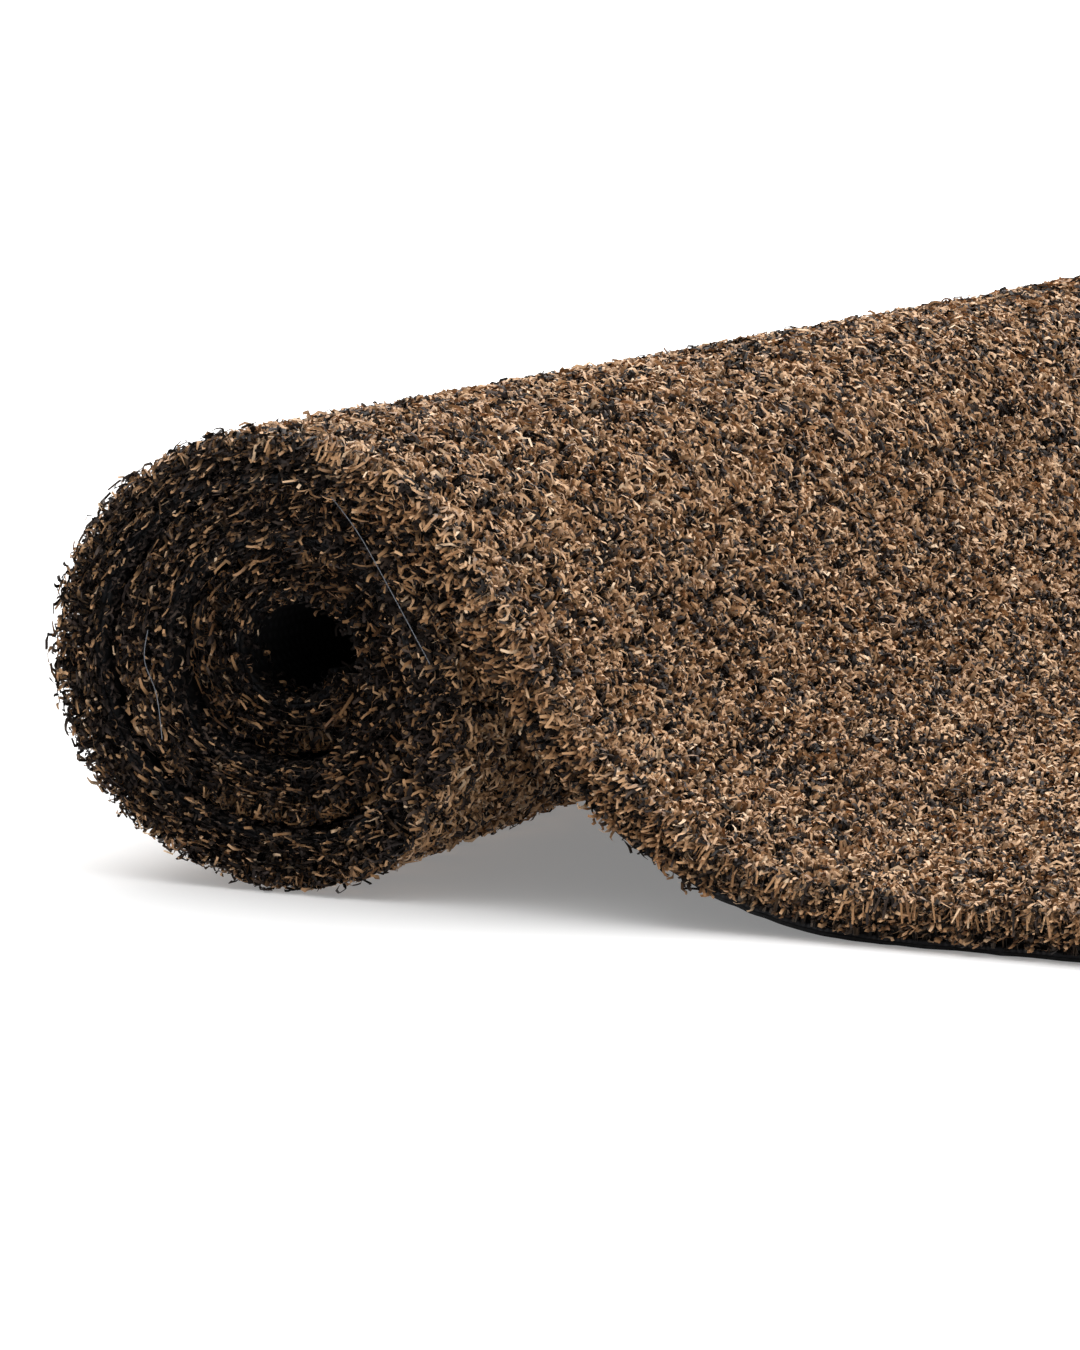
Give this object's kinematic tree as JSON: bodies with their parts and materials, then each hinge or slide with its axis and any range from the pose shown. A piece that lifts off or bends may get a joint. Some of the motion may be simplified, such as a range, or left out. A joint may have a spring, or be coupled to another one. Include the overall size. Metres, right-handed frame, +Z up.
{
  "type": "practice putting mat",
  "caption": "Practice putting mat of curled two-tone artificial turf on a woven, latex-coated backing, partly rolled up with its tail laid out flat.",
  "frame": {"origin": "on the floor at the middle of the whole mat's footprint, partly rolled as it stands", "axes": "+X from the roll towards the free end of the tail, +Y along the roll's axis, +Z up"},
  "size_m": [1.0336, 0.936, 0.1227],
  "materials": {
    "tan_yarn": "satin",
    "charcoal_yarn": "satin",
    "woven_cloth": "matte",
    "latex_coating": "matte",
    "loose_thread": "satin"
  },
  "bodies": {
    "root": {"roll_latex_1": "latex_coating", "roll_latex_2": "latex_coating", "roll_latex_3": "latex_coating", "roll_cloth_1": "woven_cloth", "roll_cloth_2": "woven_cloth", "roll_cloth_3": "woven_cloth", "roll_pile_1": "tan_yarn", "roll_pile_2": "tan_yarn", "roll_pile_3": "tan_yarn", "roll_pile_4": "tan_yarn", "roll_pile_5": "tan_yarn", "roll_pile_6": "tan_yarn", "roll_pile_7": "tan_yarn", "roll_pile_8": "tan_yarn", "roll_pile_9": "tan_yarn", "roll_pile_10": "tan_yarn", "roll_pile_11": "tan_yarn"},
    "tail_strip_1": {"tail_latex_1": "latex_coating", "tail_cloth_1": "woven_cloth", "tail_pile_1": "tan_yarn"},
    "tail_strip_2": {"tail_latex_2": "latex_coating", "tail_cloth_2": "woven_cloth", "tail_pile_2": "tan_yarn"},
    "tail_strip_3": {"tail_latex_3": "latex_coating", "tail_cloth_3": "woven_cloth", "tail_pile_3": "tan_yarn"},
    "tail_strip_4": {"tail_latex_4": "latex_coating", "tail_cloth_4": "woven_cloth", "tail_pile_4": "tan_yarn"},
    "tail_strip_5": {"tail_latex_5": "latex_coating", "tail_cloth_5": "woven_cloth", "tail_pile_5": "tan_yarn"},
    "tail_strip_6": {"tail_latex_6": "latex_coating", "tail_cloth_6": "woven_cloth", "tail_pile_6": "tan_yarn"}
  },
  "joints": [
    {"name": "tail_lift", "type": "hinge", "parent": "root", "child": "tail_strip_1", "pos_m": [-0.42594, 0, 0.10334], "axis": [0, -1, 0], "range_deg": [0, 45]},
    {"name": "landing_bend", "type": "hinge", "parent": "tail_strip_1", "child": "tail_strip_2", "pos_m": [-0.33669, 0, 0.01379], "axis": [0, -1, 0], "range_deg": [-45, 0]},
    {"name": "end_lift", "type": "hinge", "parent": "tail_strip_2", "child": "tail_strip_3", "pos_m": [-0.1209, 0, 0], "axis": [0, -1, 0], "range_deg": [0, 15]},
    {"name": "end_bend_2", "type": "hinge", "parent": "tail_strip_3", "child": "tail_strip_4", "pos_m": [0.03854, 0, 0], "axis": [0, -1, 0], "range_deg": [0, 15]},
    {"name": "end_bend_3", "type": "hinge", "parent": "tail_strip_4", "child": "tail_strip_5", "pos_m": [0.19798, 0, 0], "axis": [0, -1, 0], "range_deg": [0, 15]},
    {"name": "end_bend_4", "type": "hinge", "parent": "tail_strip_5", "child": "tail_strip_6", "pos_m": [0.35742, 0, 0], "axis": [0, -1, 0], "range_deg": [0, 15]}
  ],
  "couplings": [
    {"joint": "landing_bend", "follows": "tail_lift", "ratio": -1},
    {"joint": "end_bend_2", "follows": "end_lift", "ratio": 1},
    {"joint": "end_bend_3", "follows": "end_lift", "ratio": 1},
    {"joint": "end_bend_4", "follows": "end_lift", "ratio": 1}
  ]
}
